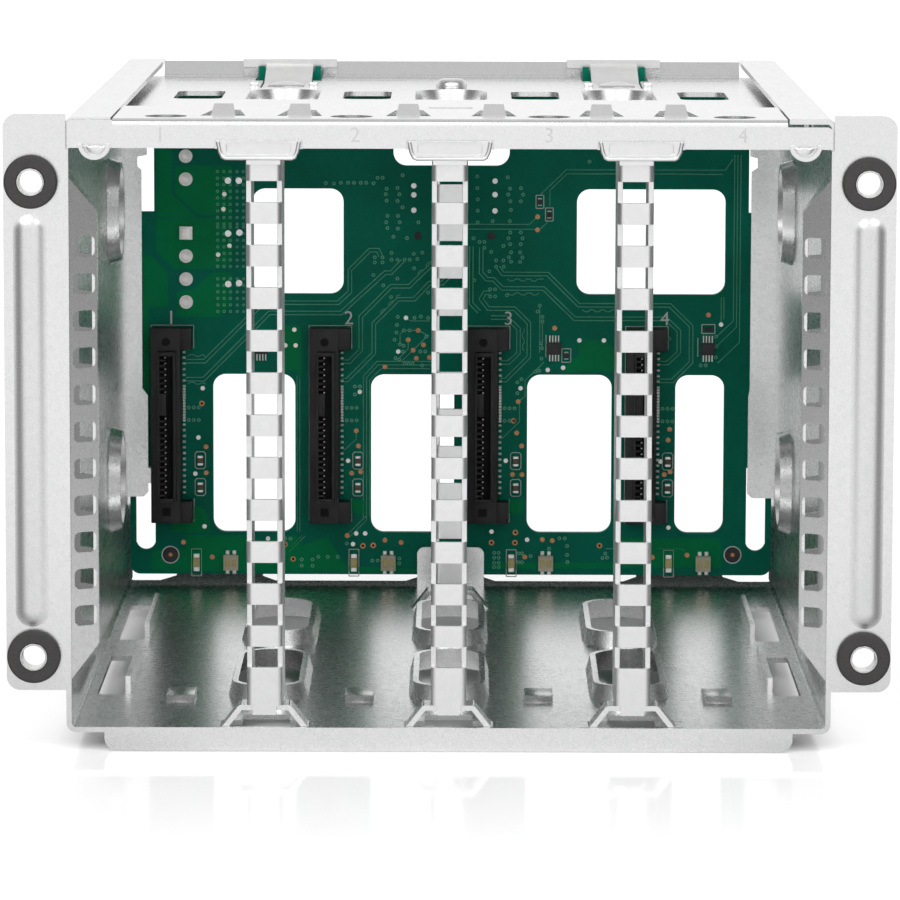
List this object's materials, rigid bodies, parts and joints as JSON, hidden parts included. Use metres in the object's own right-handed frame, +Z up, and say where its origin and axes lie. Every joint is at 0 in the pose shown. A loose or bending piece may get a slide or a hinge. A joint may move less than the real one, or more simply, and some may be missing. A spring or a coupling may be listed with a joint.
{
  "type": "drive cage",
  "caption": "Sheet-metal hot-plug drive cage with ladder dividers, pressed top cover, backplane board with drive connectors, and lift-up latches that free the board.",
  "frame": {"origin": "centre of the footprint at the lowest face, the underside of the front and rear lips", "axes": "+Z up, the open front with its ears faces -Y, +X to the right seen from the front"},
  "size_m": [0.168, 0.195, 0.1224],
  "materials": {
    "chassis_steel": "galvanised, fine spangle",
    "cover_steel": "galvanised, fine spangle",
    "divider_steel": "galvanised, satin",
    "latch_steel": "galvanised, satin",
    "sleeve_metal": "satin",
    "tinned_metal": "tinned",
    "grommet_rubber": "matte",
    "board_green": "solder mask",
    "connector_plastic": "matte black",
    "header_plastic": "natural",
    "lamp_plastic": "moulded",
    "chip_plastic": "matte black",
    "capacitor_body": "ceramic"
  },
  "bodies": {
    "cage": {"activity_lamps": "lamp_plastic", "backplane_board": "board_green", "capacitors": "capacitor_body", "chassis_shell": "chassis_steel", "connector_tails_1": "tinned_metal", "connector_tails_2": "tinned_metal", "connector_tails_3": "tinned_metal", "connector_tails_4": "tinned_metal", "controller_chips": "chip_plastic", "divider_centre": "divider_steel", "divider_left": "divider_steel", "divider_right": "divider_steel", "drive_connector_1": "connector_plastic", "drive_connector_2": "connector_plastic", "drive_connector_3": "connector_plastic", "drive_connector_4": "connector_plastic", "grommet_bottom_left": "grommet_rubber", "grommet_bottom_right": "grommet_rubber", "grommet_top_left": "grommet_rubber", "grommet_top_right": "grommet_rubber", "power_header_lower": "header_plastic", "power_header_upper": "header_plastic", "power_pins": "tinned_metal", "rear_divider": "divider_steel", "rear_divider_cap": "divider_steel", "resistors": "chip_plastic", "signal_socket_cage": "tinned_metal", "signal_socket_insert": "connector_plastic", "sleeve_bottom_left": "sleeve_metal", "sleeve_bottom_right": "sleeve_metal", "sleeve_top_left": "sleeve_metal", "sleeve_top_right": "sleeve_metal", "status_lamps": "lamp_plastic", "top_cover": "cover_steel"},
    "latch_left": {"board_latch_left": "latch_steel"},
    "latch_right": {"board_latch_right": "latch_steel"}
  },
  "joints": [
    {"name": "latch_left_lift", "type": "hinge", "parent": "cage", "child": "latch_left", "pos_m": [-0.0356, 0.04587, 0.1162], "axis": [1, 0, 0], "range_deg": [0, 20]},
    {"name": "latch_right_lift", "type": "hinge", "parent": "cage", "child": "latch_right", "pos_m": [0.0356, 0.04587, 0.1162], "axis": [1, 0, 0], "range_deg": [0, 20]}
  ]
}
